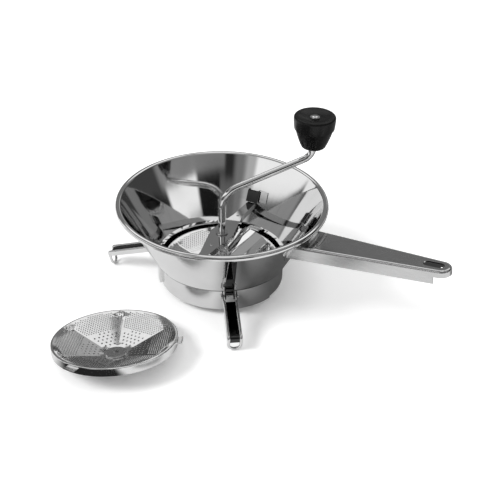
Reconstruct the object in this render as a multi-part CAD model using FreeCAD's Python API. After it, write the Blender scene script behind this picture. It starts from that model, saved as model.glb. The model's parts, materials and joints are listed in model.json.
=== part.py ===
import FreeCAD, Part
import math
import os

# Driving dimensions of the food mill, in millimetres and degrees.
# The origin is on the bowl's axis at the height of the foot tips, +Z is up, +X runs along the handle.
# An azimuth is counted from the handle, anticlockwise seen from above.

# Bowl: one pressed sheet with a rolled rim, a cone, a step and a collar with a folded hem
SHEET = 1.0
RIM_RADIUS = 120.0
RIM_HEIGHT = 105.9
BEAD_RADIUS = 3.5
STEP_HEIGHT = 36.6
STEP_INSIDE_RADIUS = 75.1
COLLAR_RADIUS = 71.5
COLLAR_BOTTOM = 7.0
HEM_WIDTH = 6.0
HEM_TOP = 24.0
POCKET_DEPTH = 3.0
POCKET_WIDTH_DEG = 34.0
POCKET_AZIMUTHS = (-28.0, 92.0, 212.0)

# Handle: a tapered channel that climbs away from the bowl, and its saddle on the cone
HANDLE_SHEET = 1.2
HANDLE_ROOT_RADIUS = 112.0
HANDLE_ROOT_HEIGHT = 95.0
HANDLE_PITCH = 7.0
HANDLE_ROOT_HALF_WIDTH = 21.5
HANDLE_NOSE_RADIUS = 11.3
HANDLE_NOSE_AT = 150.8
HANDLE_FLANGE = 16.0
HANDLE_NOSE_FLANGE = 8.0
HANDLE_FLANGE_END = 146.5
HANDLE_EDGE_RADIUS = 3.0
HANG_SLOT_AT = 143.0
HANG_SLOT_LENGTH = 23.0
HANG_SLOT_WIDTH = 9.5
SADDLE_SHEET = 1.2
SADDLE_TOP = 98.0
SADDLE_BOTTOM = 70.0
SADDLE_HALF_WIDTH = 31.0

# Three folding legs, each on a strap that is welded to the cone
LEGS = {"front": -52.0, "left": 197.0, "rear": 72.5}
LEG_PIN_RADIUS_AT = 82.0
LEG_PIN_HEIGHT = 34.0
LEG_DROOP = 17.0
LEG_LENGTH = 60.0
LEG_WIDTH = 16.4
LEG_SHEET = 1.2
LEG_HALF_DEPTH = 3.5
LEG_WEB_START = 9.0
LEG_HEEL = 5.2
LEG_TIP_DEPTH = 18.2
LEG_HOLE_RADIUS = 4.6
LEG_HOLE_DEPTH = 9.8
LEG_EDGE_RADIUS = 1.8
LEG_PIN_RADIUS = 2.0
STRAP_SHEET = 1.2
STRAP_TOP = 100.0
STRAP_TOP_HALF_WIDTH = 4.25
STRAP_HALF_WIDTH = 5.5
STRAP_BOTTOM = 29.0
EAR_SHEET = 1.5
EAR_RADIUS = 4.0

# Crank: a bent round rod with a turning knob
ROD_RADIUS = 4.0
ROD_TIP_RADIUS = 3.0
ROD_FOOT = 16.0
ROD_TIP = 12.3
CRANK_AZIMUTH = 48.0
ELBOW_HEIGHT = 117.0
ELBOW_BEND = 26.0
KNOB_REACH = 106.2
KNOB_CORNER_HEIGHT = 150.0
KNOB_BEND = 15.0
KNOB_BOTTOM = 161.5
KNOB_HEIGHT = 38.5
KNOB_RADIUS = 23.6
KNOB_NECK_RADIUS = 2.5
KNOB_SHOULDER = 26.5
RIVET_RADIUS = 3.6
RIVET_HEIGHT = 1.3
RIVET_SINK = 1.7
RUNNING_GAP = 0.05
CLIP_RADIUS = 7.0

# Crossbar: an arched lozenge channel, drawn along Y and turned, held under two straps on the cone
BAR_AZIMUTH = 97.0
BAR_SHEET = 1.5
BAR_TOP = 65.0
BAR_END_TOP = 60.5
BAR_REACH = 86.0
BAR_FLANGE = 7.0
BAR_HALF_WIDTH = 14.0
BAR_WAIST_AT = 45.0
BAR_WAIST_HALF_WIDTH = 5.5
BAR_END_HALF_WIDTH = 4.6
BAR_WALL_GAP = 2.1
TONGUE_HALF_WIDTH = 3.8
BAR_HOLES = {-28.0: 1.6, 44.0: 1.6}
TONGUE_TOP = 72.0
BAR_STRAP_BOTTOM = 62.0
BAR_STRAP_TOP = 74.0
BAR_STRAP_HALF_WIDTH = 18.0
BAR_STRAP_BRIDGE = 6.9
BAR_STRAP_DEPTH = 5.6

# Spring and the washers it works between
WIRE = 1.6
SPRING_DIAMETER = 13.0
SPRING_TURNS = 6
SPRING_BOTTOM = 36.15
SPRING_TOP = 62.1
WASHER_RADIUS = 9.0
WASHER_THICK = 1.0
FIXED_GAP = 0.02

# Blade: two curved wings on a hub
BLADE_AZIMUTH = 75.0
BLADE_SHEET = 1.5
BLADE_REACH = 61.6
BLADE_RISE = 18.0
BLADE_GAP = 0.6
BLADE_HUB_RADIUS = 9.0
BLADE_HUB_TOP = 34.8
BLADE_PIN_RADIUS = 1.5
BLADE_PIN_HEIGHT = 30.0

# Sieve discs: a dished sheet with a rim flange, lugs, perforations and a hub. Heights start at the rim's top
DISC_SHEET = 0.8
DISC_RADIUS = 67.0
DISC_FLANGE = 8.8
DISC_DISH_EDGE = 64.6
DISC_FLOOR_RADIUS = 13.0
DISC_FLOOR_DEPTH = 18.3
DISC_LUG_REACH = 72.2
DISC_LUG_WIDTH_DEG = 12.0
DISC_STRIP_AT = 30.0
DISC_STRIP_HALF_WIDTH = 2.6
HUB_FLANGE_RADIUS = 12.0
HUB_NECK_RADIUS = 7.0
HUB_TOP_DEPTH = 17.2
HUB_BOTTOM_DEPTH = 19.3
COARSE_HOLE_RADIUS = 1.3
COARSE_RINGS = {20.0: 2, 26.5: 3, 33.0: 4}
FINE_HOLE_RADIUS = 1.5
FINE_RINGS = {41.0: 7, 47.0: 8, 53.0: 9, 59.0: 10}
SECTORS = 6
DISC_AZIMUTH = POCKET_AZIMUTHS[0]
DISC_RIM_HEIGHT = HEM_TOP + DISC_FLANGE
SPARE_CENTRE = (-22.0, -177.8)
SPARE_LEAN_AZIMUTH = 139.0
SPARE_AZIMUTH = 28.0

ORIGIN = FreeCAD.Vector(0, 0, 0)
X_AXIS = FreeCAD.Vector(1, 0, 0)
Y_AXIS = FreeCAD.Vector(0, 1, 0)
Z_AXIS = FreeCAD.Vector(0, 0, 1)
FAR = 400.0


# Small drawing helpers

def upright(r, z):
    return FreeCAD.Vector(r, 0, z)


def flat(x, y):
    return FreeCAD.Vector(x, y, 0)


def crosswise(y, z):
    return FreeCAD.Vector(0, y, z)


def edges_along(start, steps, place):
    """Edges through the steps; a step is an end point, or a (middle, end) pair for an arc."""
    edges = []
    here = start
    for step in steps:
        if isinstance(step[0], tuple):
            middle, end = step
            edges.append(Part.Arc(place(*here), place(*middle), place(*end)).toShape())
        else:
            end = step
            edges.append(Part.LineSegment(place(*here), place(*end)).toShape())
        here = end
    return edges


def face(start, *steps, place=upright):
    """A face inside the outline, which is closed with a line unless its last arc comes back to the start."""
    last = steps[-1]
    end = last[1] if isinstance(last[0], tuple) else last
    if end != start:
        steps += (start,)
    return Part.Face(Part.Wire(edges_along(start, steps, place)))


def turned(*outline):
    return face(*outline).revolve(ORIGIN, Z_AXIS, 360)


def across(half_width, *outline, place=upright):
    """An upright outline made into a plate, half_width to each side of the XZ plane."""
    plate = face(*outline, place=place)
    plate.translate(Y_AXIS * -half_width)
    return plate.extrude(Y_AXIS * (2 * half_width))


def rod(radius, low, high, centre=(0.0, 0.0)):
    return Part.makeCylinder(radius, high - low, FreeCAD.Vector(centre[0], centre[1], low))


def ring(inner, outer, low, high):
    return rod(outer, low, high).cut(rod(inner, low, high))


def ring_sector(inner, outer, low, high, azimuth, width):
    wedge = Part.makeCylinder(outer, high - low, FreeCAD.Vector(0, 0, low), Z_AXIS, width)
    wedge = wedge.cut(rod(inner, low, high))
    return wedge.rotated(ORIGIN, Z_AXIS, azimuth - width / 2)


def pin_along_y(radius, half_length, x=0.0, z=0.0):
    return Part.makeCylinder(radius, 2 * half_length, FreeCAD.Vector(x, -half_length, z), Y_AXIS)


def box(low, high):
    size = [high[i] - low[i] for i in range(3)]
    return Part.makeBox(size[0], size[1], size[2], FreeCAD.Vector(*low))


def at_azimuth(shape, azimuth):
    return shape.rotated(ORIGIN, Z_AXIS, azimuth)


# The cone's line runs from its foot to a tangent of the bead, so the inside is smooth up to the rim

BEAD_CENTRE = (RIM_RADIUS - BEAD_RADIUS, RIM_HEIGHT)
CONE_RUN = (BEAD_CENTRE[0] - STEP_INSIDE_RADIUS, BEAD_CENTRE[1] - STEP_HEIGHT)
CONE_SPAN = math.hypot(*CONE_RUN)
CONE_ANGLE = math.atan2(CONE_RUN[1], CONE_RUN[0]) + math.asin(BEAD_RADIUS / CONE_SPAN)
CONE_ALONG = (math.cos(CONE_ANGLE), math.sin(CONE_ANGLE))
CONE_OUT = (math.sin(CONE_ANGLE), -math.cos(CONE_ANGLE))
CONE_SLOPE = CONE_ALONG[0] / CONE_ALONG[1]


def cone_inside(z):
    return STEP_INSIDE_RADIUS + CONE_SLOPE * (z - STEP_HEIGHT)


def cone_outside(z):
    return cone_inside(z) + SHEET / CONE_OUT[0]


def cone_band(inner, outer, low, high):
    """A shell parallel to the cone, between two radial offsets from its outside."""
    return turned(
        (cone_outside(low) + inner, low),
        (cone_outside(low) + outer, low),
        (cone_outside(high) + outer, high),
        (cone_outside(high) + inner, high),
    )


def cone_core(offset, low, high):
    """Everything inside the cone's inner face, moved out by offset."""
    return turned(
        (0.0, low),
        (cone_inside(low) + offset, low),
        (cone_inside(high) + offset, high),
        (0.0, high),
    )


def on_bead(along, out):
    return (
        BEAD_CENTRE[0] + along * CONE_ALONG[0] + out * CONE_OUT[0],
        BEAD_CENTRE[1] + along * CONE_ALONG[1] + out * CONE_OUT[1],
    )


def make_bowl():
    inner = COLLAR_RADIUS - SHEET
    hem = COLLAR_RADIUS - HEM_WIDTH
    fold_middle = COLLAR_RADIUS - HEM_WIDTH / 2
    fold_height = COLLAR_BOTTOM + HEM_WIDTH / 2
    ledge_under = STEP_HEIGHT - SHEET
    bead_offset = BEAD_RADIUS - SHEET
    bead_start = on_bead(-math.sqrt(BEAD_RADIUS ** 2 - bead_offset ** 2), -bead_offset)
    shell = turned(
        (hem, HEM_TOP),
        (hem, fold_height),
        ((fold_middle, COLLAR_BOTTOM), (COLLAR_RADIUS, fold_height)),
        (COLLAR_RADIUS, ledge_under),
        (cone_outside(ledge_under), ledge_under),
        bead_start,
        (on_bead(0, BEAD_RADIUS), on_bead(0, -BEAD_RADIUS)),
        (STEP_INSIDE_RADIUS, STEP_HEIGHT),
        (inner, STEP_HEIGHT),
        (inner, fold_height),
        ((fold_middle, COLLAR_BOTTOM + SHEET), (hem + SHEET, fold_height)),
        (hem + SHEET, HEM_TOP),
    )
    wall_angle = math.degrees(SHEET / COLLAR_RADIUS)
    pocket_radius = COLLAR_RADIUS + POCKET_DEPTH
    for azimuth in POCKET_AZIMUTHS:
        shell = shell.fuse(ring_sector(inner, pocket_radius, fold_height, ledge_under + SHEET / 2,
                                       azimuth, POCKET_WIDTH_DEG))
    for azimuth in POCKET_AZIMUTHS:
        shell = shell.cut(ring_sector(inner - SHEET / 2, pocket_radius - SHEET, fold_height + SHEET,
                                      STEP_HEIGHT + SHEET, azimuth, POCKET_WIDTH_DEG - 2 * wall_angle))
    return shell.removeSplitter()


# Handle and saddle

def handle_half_width(at):
    share = at / HANDLE_NOSE_AT
    return HANDLE_ROOT_HALF_WIDTH + (HANDLE_NOSE_RADIUS - HANDLE_ROOT_HALF_WIDTH) * share


def handle_block(inset, top, bottom, edge_radius):
    """The handle's plan, drawn in by inset and made solid, with its long top edges rounded."""
    root = -HANDLE_ROOT_HALF_WIDTH
    root_half = handle_half_width(root) - inset
    nose = HANDLE_NOSE_RADIUS - inset
    plan = face(
        (root, root_half),
        (HANDLE_NOSE_AT, nose),
        ((HANDLE_NOSE_AT + nose, 0.0), (HANDLE_NOSE_AT, -nose)),
        (root, -root_half),
        place=flat,
    )
    plan.translate(Z_AXIS * top)
    block = plan.extrude(Z_AXIS * (bottom - top))
    rounded = []
    for edge in block.Edges:
        bounds = edge.BoundBox
        if abs(bounds.ZMin - top) < 1e-6 and abs(bounds.ZMax - top) < 1e-6 and bounds.XLength > 1:
            rounded.append(edge)
    return block.makeFillet(edge_radius, rounded)


def make_handle():
    handle = handle_block(0.0, 0.0, -HANDLE_FLANGE, HANDLE_EDGE_RADIUS)
    hollow = handle_block(HANDLE_SHEET, -HANDLE_SHEET, -2 * HANDLE_FLANGE, HANDLE_EDGE_RADIUS - HANDLE_SHEET)
    handle = handle.cut(hollow)
    nose_relief = box((HANDLE_FLANGE_END, -FAR, -FAR), (FAR, FAR, -HANDLE_NOSE_FLANGE))
    slot_half = HANG_SLOT_WIDTH / 2
    slot_run = HANG_SLOT_LENGTH / 2 - slot_half
    slot = face(
        (HANG_SLOT_AT - slot_run, slot_half),
        (HANG_SLOT_AT + slot_run, slot_half),
        ((HANG_SLOT_AT + slot_run + slot_half, 0.0), (HANG_SLOT_AT + slot_run, -slot_half)),
        (HANG_SLOT_AT - slot_run, -slot_half),
        ((HANG_SLOT_AT - slot_run - slot_half, 0.0), (HANG_SLOT_AT - slot_run, slot_half)),
        place=flat,
    )
    slot.translate(Z_AXIS * -HANDLE_NOSE_FLANGE)
    handle = handle.cut(nose_relief).cut(slot.extrude(Z_AXIS * (2 * HANDLE_NOSE_FLANGE)))
    handle = handle.rotated(ORIGIN, Y_AXIS, -HANDLE_PITCH)
    handle.translate(FreeCAD.Vector(HANDLE_ROOT_RADIUS, 0, HANDLE_ROOT_HEIGHT))
    clear_of_cone = (SHEET + SADDLE_SHEET) / CONE_OUT[0] + 2 * FIXED_GAP
    return handle.cut(cone_core(clear_of_cone, STEP_HEIGHT, FAR / 2))


def make_saddle():
    low_half = 0.62 * SADDLE_HALF_WIDTH
    bend = (SADDLE_TOP + SADDLE_BOTTOM) / 2
    outline = face(
        (-SADDLE_HALF_WIDTH, SADDLE_TOP),
        (SADDLE_HALF_WIDTH, SADDLE_TOP),
        (SADDLE_HALF_WIDTH, bend),
        (low_half, SADDLE_BOTTOM),
        (-low_half, SADDLE_BOTTOM),
        (-SADDLE_HALF_WIDTH, bend),
        place=crosswise,
    )
    band = cone_band(FIXED_GAP, SADDLE_SHEET / CONE_OUT[0], SADDLE_BOTTOM, SADDLE_TOP)
    return band.common(outline.extrude(X_AXIS * FAR))


# Legs, their straps and pins

def make_leg(azimuth):
    half = LEG_WIDTH / 2
    inside = half - LEG_SHEET
    hook = LEG_LENGTH - LEG_SHEET
    web_under = LEG_HALF_DEPTH - LEG_SHEET
    corner = LEG_EDGE_RADIUS * (1 - math.sqrt(0.5))
    leg = across(
        half,
        (-LEG_HEEL, LEG_HALF_DEPTH),
        (LEG_LENGTH - LEG_EDGE_RADIUS, LEG_HALF_DEPTH),
        ((LEG_LENGTH - corner, LEG_HALF_DEPTH - corner), (LEG_LENGTH, LEG_HALF_DEPTH - LEG_EDGE_RADIUS)),
        (LEG_LENGTH, -LEG_TIP_DEPTH),
        (hook, -LEG_TIP_DEPTH),
        (hook, -LEG_HALF_DEPTH),
        (0.0, -EAR_RADIUS),
        ((-EAR_RADIUS * math.sqrt(0.5), -EAR_RADIUS * math.sqrt(0.5)), (-EAR_RADIUS, 0.0)),
    )
    top_edges = []
    for edge in leg.Edges:
        bounds = edge.BoundBox
        if bounds.XLength > LEG_WEB_START and bounds.ZMin > LEG_HALF_DEPTH - 1e-6:
            top_edges.append(edge)
    leg = leg.makeFillet(LEG_EDGE_RADIUS, top_edges)
    leg = leg.cut(box((-FAR, -inside, -FAR), (hook, inside, web_under)))
    leg = leg.cut(box((-FAR, -inside, -FAR), (LEG_WEB_START, inside, FAR)))
    tip_outline = face(
        (-half, LEG_HALF_DEPTH),
        (half, LEG_HALF_DEPTH),
        (half, half - LEG_TIP_DEPTH),
        ((0.0, -LEG_TIP_DEPTH), (-half, half - LEG_TIP_DEPTH)),
        place=crosswise,
    )
    tip_outline.translate(X_AXIS * -LEG_HEEL)
    leg = leg.common(tip_outline.extrude(X_AXIS * (LEG_HEEL + LEG_LENGTH)))
    tip_hole = Part.makeCylinder(LEG_HOLE_RADIUS, 2 * half, FreeCAD.Vector(hook - half, 0, -LEG_HOLE_DEPTH), X_AXIS)
    leg = leg.cut(tip_hole).cut(pin_along_y(LEG_PIN_RADIUS + RUNNING_GAP, LEG_WIDTH))
    leg = leg.rotated(ORIGIN, Y_AXIS, LEG_DROOP)
    leg.translate(FreeCAD.Vector(LEG_PIN_RADIUS_AT, 0, LEG_PIN_HEIGHT))
    floor = box((-FAR, -FAR, -FAR), (FAR, FAR, 0))
    return at_azimuth(leg.cut(floor), azimuth)


def make_leg_strap(azimuth):
    gap = FIXED_GAP
    thick = STRAP_SHEET / CONE_OUT[0]
    foot = cone_outside(STEP_HEIGHT) + gap
    strap = across(
        STRAP_HALF_WIDTH,
        (cone_outside(STRAP_TOP) + gap, STRAP_TOP),
        (cone_outside(STRAP_TOP) + gap + thick, STRAP_TOP),
        (foot + thick, STEP_HEIGHT),
        (foot + thick, STRAP_BOTTOM),
        (foot, STRAP_BOTTOM),
        (foot, STEP_HEIGHT),
    )
    taper = face(
        (-STRAP_TOP_HALF_WIDTH, STRAP_TOP),
        (STRAP_TOP_HALF_WIDTH, STRAP_TOP),
        (STRAP_HALF_WIDTH, STEP_HEIGHT),
        (STRAP_HALF_WIDTH, STRAP_BOTTOM),
        (-STRAP_HALF_WIDTH, STRAP_BOTTOM),
        (-STRAP_HALF_WIDTH, STEP_HEIGHT),
        place=crosswise,
    )
    strap = strap.common(taper.extrude(X_AXIS * FAR))
    ear_top = LEG_PIN_HEIGHT + 2 * EAR_RADIUS
    ears = across(
        STRAP_HALF_WIDTH,
        (cone_outside(ear_top) + gap + thick / 2, ear_top),
        (LEG_PIN_RADIUS_AT + EAR_RADIUS * math.sqrt(0.5), LEG_PIN_HEIGHT + EAR_RADIUS * math.sqrt(0.5)),
        ((LEG_PIN_RADIUS_AT + EAR_RADIUS, LEG_PIN_HEIGHT), (LEG_PIN_RADIUS_AT, LEG_PIN_HEIGHT - EAR_RADIUS)),
        (foot + thick / 2, LEG_PIN_HEIGHT - EAR_RADIUS),
        (foot + thick / 2, STEP_HEIGHT),
    )
    between = STRAP_HALF_WIDTH - EAR_SHEET
    ears = ears.cut(box((foot, -between, 0), (FAR, between, FAR)))
    strap = strap.fuse(ears)
    strap = strap.cut(pin_along_y(LEG_PIN_RADIUS + FIXED_GAP, LEG_WIDTH, LEG_PIN_RADIUS_AT, LEG_PIN_HEIGHT))
    return at_azimuth(strap.removeSplitter(), azimuth)


def make_leg_pin(azimuth):
    head_inside = LEG_WIDTH / 2 + 0.3
    head_outside = head_inside + 1.0
    pin = pin_along_y(LEG_PIN_RADIUS, head_outside, LEG_PIN_RADIUS_AT, LEG_PIN_HEIGHT)
    heads = pin_along_y(1.6 * LEG_PIN_RADIUS, head_outside, LEG_PIN_RADIUS_AT, LEG_PIN_HEIGHT)
    heads = heads.cut(box((0, -head_inside, 0), (FAR, head_inside, FAR)))
    return at_azimuth(pin.fuse(heads).removeSplitter(), azimuth)


# Crank rod and knob, drawn in the XZ plane and then turned to the crank's azimuth

def rod_bend(start, bend, turn):
    """A bend of the rod from a vertical run at start; a negative bend leads down into the run."""
    section = Part.Face(Part.Wire(Part.makeCircle(ROD_RADIUS, upright(*start), Z_AXIS)))
    centre = upright(start[0] + bend, start[1])
    return section.revolve(centre, Y_AXIS, turn)


def make_crank_rod():
    arm_angle = math.atan2(KNOB_CORNER_HEIGHT - ELBOW_HEIGHT, KNOB_REACH)
    arm = (math.cos(arm_angle), math.sin(arm_angle))
    half_turn = (math.pi / 2 - arm_angle) / 2
    elbow_run = ELBOW_BEND * math.tan(half_turn)
    knob_run = KNOB_BEND * math.tan(half_turn)
    elbow_in = (0.0, ELBOW_HEIGHT - elbow_run)
    elbow_out = (elbow_run * arm[0], ELBOW_HEIGHT + elbow_run * arm[1])
    knob_in = (KNOB_REACH - knob_run * arm[0], KNOB_CORNER_HEIGHT - knob_run * arm[1])
    knob_out = (KNOB_REACH, KNOB_CORNER_HEIGHT + knob_run)
    shoulder = KNOB_BOTTOM + KNOB_SHOULDER
    turn = math.degrees(2 * half_turn)
    arm_run = FreeCAD.Vector(knob_in[0] - elbow_out[0], 0, knob_in[1] - elbow_out[1])
    shaft = rod(ROD_RADIUS, ROD_FOOT, elbow_in[1])
    elbow = rod_bend(elbow_in, ELBOW_BEND, turn)
    arm = Part.makeCylinder(ROD_RADIUS, arm_run.Length, upright(*elbow_out), arm_run)
    knob_bend = rod_bend(knob_out, -KNOB_BEND, turn)
    axle = rod(ROD_RADIUS, knob_out[1], shoulder, (KNOB_REACH, 0.0))
    bent = shaft.fuse([elbow, arm, knob_bend, axle])
    rivet_seat = KNOB_BOTTOM + KNOB_HEIGHT - RIVET_SINK
    neck = rod(KNOB_NECK_RADIUS, shoulder, rivet_seat, (KNOB_REACH, 0.0))
    rivet = turned(
        (0.0, rivet_seat),
        (RIVET_RADIUS, rivet_seat),
        (RIVET_RADIUS, rivet_seat + RIVET_HEIGHT / 2),
        (0.65 * RIVET_RADIUS, rivet_seat + RIVET_HEIGHT),
        (0.0, rivet_seat + RIVET_HEIGHT),
    )
    rivet.translate(X_AXIS * KNOB_REACH)
    tip = rod(ROD_TIP_RADIUS, ROD_TIP, ROD_FOOT)
    crank = bent.fuse(neck).fuse(rivet).fuse(tip).removeSplitter()
    crank = at_azimuth(crank, CRANK_AZIMUTH)
    cross_hole = pin_along_y(BLADE_PIN_RADIUS + FIXED_GAP, BLADE_HUB_RADIUS, 0.0, BLADE_PIN_HEIGHT)
    return crank.cut(at_azimuth(cross_hole, BLADE_AZIMUTH))


def make_knob():
    bore = ROD_RADIUS + RUNNING_GAP
    neck_bore = KNOB_NECK_RADIUS + RUNNING_GAP
    shoulder = KNOB_SHOULDER + 0.2
    dish = KNOB_HEIGHT - 3.0
    knob = turned(
        (bore, 0.0),
        (10.5, 0.0),
        ((12.9, 0.7), (14.3, 2.6)),
        ((18.1, 12.0), (21.2, 22.0)),
        (21.5, 22.8),
        (22.6, 23.3),
        ((KNOB_RADIUS - 0.3, 29.5), (KNOB_RADIUS, KNOB_HEIGHT - 3.2)),
        ((KNOB_RADIUS - 0.8, KNOB_HEIGHT - 0.9), (KNOB_RADIUS - 2.8, KNOB_HEIGHT)),
        (KNOB_RADIUS - 5.4, KNOB_HEIGHT),
        ((11.5, dish + 0.9), (6.5, dish)),
        (neck_bore, dish),
        (neck_bore, shoulder),
        (bore, shoulder),
    )
    knob.translate(FreeCAD.Vector(KNOB_REACH, 0, KNOB_BOTTOM))
    return at_azimuth(knob, CRANK_AZIMUTH)


def make_knob_washer():
    seat = KNOB_BOTTOM + KNOB_HEIGHT - 3.0
    washer = ring(KNOB_NECK_RADIUS + FIXED_GAP, 5.4, seat + 0.3, seat + 1.25)
    washer.translate(X_AXIS * KNOB_REACH)
    return at_azimuth(washer, CRANK_AZIMUTH)


# Crossbar, drawn along Y, and the straps that hold its tongues

def bar_band(top, depth):
    """The bar's arched side view: top is the arch's crown, depth is measured straight down."""
    drop = BAR_TOP - BAR_END_TOP
    share = 0.5
    middle_drop = drop * share ** 2
    reach = BAR_REACH
    outline = face(
        (-reach, top - drop),
        ((0.0, top), (reach, top - drop)),
        (reach, top - drop - depth),
        ((reach * share, top - middle_drop - depth), (0.0, top - depth)),
        ((-reach * share, top - middle_drop - depth), (-reach, top - drop - depth)),
        place=crosswise,
    )
    outline.translate(X_AXIS * -BAR_HALF_WIDTH)
    return outline.extrude(X_AXIS * (2 * BAR_HALF_WIDTH))


def bar_plan(inset):
    wide = BAR_HALF_WIDTH - inset
    waist = BAR_WAIST_HALF_WIDTH - inset
    end = BAR_END_HALF_WIDTH - inset
    plan = face(
        (wide, 0.0),
        (waist, BAR_WAIST_AT),
        (end, BAR_REACH),
        (-end, BAR_REACH),
        (-waist, BAR_WAIST_AT),
        (-wide, 0.0),
        (-waist, -BAR_WAIST_AT),
        (-end, -BAR_REACH),
        (end, -BAR_REACH),
        (waist, -BAR_WAIST_AT),
        place=flat,
    )
    return plan.extrude(Z_AXIS * BAR_TOP)


def bar_tongue(side):
    """The bent-up end of the bar, parallel to the cone, before it is turned to the bar's direction."""
    low = BAR_END_TOP - 2 * BAR_SHEET
    outer = -BAR_WALL_GAP
    inner = outer - BAR_SHEET / CONE_OUT[0]
    tongue = across(
        TONGUE_HALF_WIDTH,
        (cone_inside(low) + inner, low),
        (cone_inside(low) + outer, low),
        (cone_inside(TONGUE_TOP) + outer, TONGUE_TOP),
        (cone_inside(TONGUE_TOP) + inner, TONGUE_TOP),
    )
    return at_azimuth(tongue, 90.0 * side)


def make_crossbar():
    bar = bar_band(BAR_TOP, BAR_FLANGE).common(bar_plan(0.0))
    hollow = bar_band(BAR_TOP - BAR_SHEET, 2 * BAR_FLANGE).common(bar_plan(BAR_SHEET))
    bar = bar.cut(hollow).common(cone_core(-BAR_WALL_GAP - BAR_SHEET / 2, 0.0, RIM_HEIGHT))
    for side in (1, -1):
        bar = bar.fuse(bar_tongue(side))
    bar = bar.cut(rod(ROD_RADIUS + RUNNING_GAP, 0, FAR))
    for along, radius in BAR_HOLES.items():
        bar = bar.cut(rod(radius, 0, FAR, (0.0, along)))
    return bar.removeSplitter()


def make_bar_strap(azimuth):
    """A hat-shaped strap on the inside of the cone; the tongue slides behind its bridge."""
    thick = SHEET / CONE_OUT[0]
    low = BAR_STRAP_BOTTOM
    high = BAR_STRAP_TOP
    slot_half = BAR_STRAP_BRIDGE - 1.2
    bridge_back = BAR_STRAP_DEPTH - 1.4

    def slab(half, inner, outer, bottom, top):
        return across(
            half,
            (cone_inside(bottom) - inner, bottom),
            (cone_inside(bottom) - outer, bottom),
            (cone_inside(top) - outer, top),
            (cone_inside(top) - inner, top),
        )

    inset = SHEET / CONE_OUT[0]
    ears = cone_band(-inset - FIXED_GAP - thick, -inset - FIXED_GAP, low, high)
    ears = ears.common(box((0, -BAR_STRAP_HALF_WIDTH, 0), (FAR, BAR_STRAP_HALF_WIDTH, FAR)))
    bridge = slab(BAR_STRAP_BRIDGE, BAR_STRAP_DEPTH, -thick, low, high)
    bridge = bridge.common(cone_core(-FIXED_GAP, low, high))
    slot = slab(slot_half, bridge_back, -2 * thick, low - 1, high + 1)
    return at_azimuth(ears.fuse(bridge).cut(slot).removeSplitter(), azimuth)


# Spring: one wire along biarcs of a quarter turn, with straight ends

def biarc(start, start_way, end, end_way):
    """Two arcs that leave start along start_way and reach end along end_way."""
    chord = end - start
    ways = start_way + end_way
    spread = 2 * (1 - start_way.dot(end_way))
    lean = chord.dot(ways)
    reach = (math.sqrt(lean * lean + spread * chord.dot(chord)) - lean) / spread
    joint = (start + start_way * reach + end - end_way * reach) * 0.5
    return [tangent_arc(start, start_way, joint), tangent_arc(end, end_way * -1, joint, True)]


def tangent_arc(start, way, end, backwards=False):
    chord = end - start
    length = chord.Length
    along = chord * (1 / length)
    side = way - along * way.dot(along)
    bow = length / 2 * math.tan(math.acos(way.dot(along)) / 2)
    middle = (start + end) * 0.5 + side * (bow / side.Length)
    if backwards:
        return Part.Arc(end, middle, start).toShape()
    return Part.Arc(start, middle, end).toShape()


def spring_point(turn):
    """Place and direction of the wire's centre line after a number of turns."""
    radius = SPRING_DIAMETER / 2
    low = SPRING_BOTTOM + WIRE / 2
    rise = SPRING_TOP - WIRE / 2 - low
    angle = 2 * math.pi * turn
    place = FreeCAD.Vector(radius * math.cos(angle), radius * math.sin(angle), low + rise * turn / SPRING_TURNS)
    climb = rise / SPRING_TURNS / (2 * math.pi)
    way = FreeCAD.Vector(-radius * math.sin(angle), radius * math.cos(angle), climb)
    return place, way.normalize()


def make_spring():
    quarters = 4 * SPRING_TURNS
    stations = [spring_point(i / 4) for i in range(quarters + 1)]
    first, first_way = stations[0]
    last, last_way = stations[-1]
    flat_first = FreeCAD.Vector(first_way.x, first_way.y, 0).normalize()
    flat_last = FreeCAD.Vector(last_way.x, last_way.y, 0).normalize()
    stations[0] = (first, flat_first)
    stations[-1] = (last, flat_last)
    lead_in = first - flat_first * WIRE
    lead_out = last + flat_last * WIRE
    edges = [Part.LineSegment(lead_in, first).toShape()]
    for here, there in zip(stations, stations[1:]):
        edges += biarc(here[0], here[1], there[0], there[1])
    edges.append(Part.LineSegment(last, lead_out).toShape())
    path = Part.Wire(edges)
    section = Part.Wire(Part.makeCircle(WIRE / 2, lead_in, flat_first))
    print("spring least self gap", round(least_gap(edges), 3), "mm")
    return path.makePipeShell([section], True, False)


def least_gap(edges):
    """Smallest free distance between stretches of the wire that are over half a turn apart."""
    points = []
    for edge in edges:
        points += edge.discretize(7)[:-1]
    travelled = [0.0]
    for here, there in zip(points, points[1:]):
        travelled.append(travelled[-1] + (there - here).Length)
    half_turn = math.pi * SPRING_DIAMETER / 2
    gaps = []
    for i, here in enumerate(points):
        for j in range(i + 1, len(points)):
            if travelled[j] - travelled[i] > half_turn:
                gaps.append((points[j] - here).Length)
    return min(gaps) - WIRE


# Blade

def disc_surface(radius):
    """Height of the fitted disc's upper face at a radius."""
    share = (radius - DISC_FLOOR_RADIUS) / (DISC_DISH_EDGE - DISC_FLOOR_RADIUS)
    return DISC_RIM_HEIGHT - DISC_FLOOR_DEPTH * (1 - share)


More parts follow.
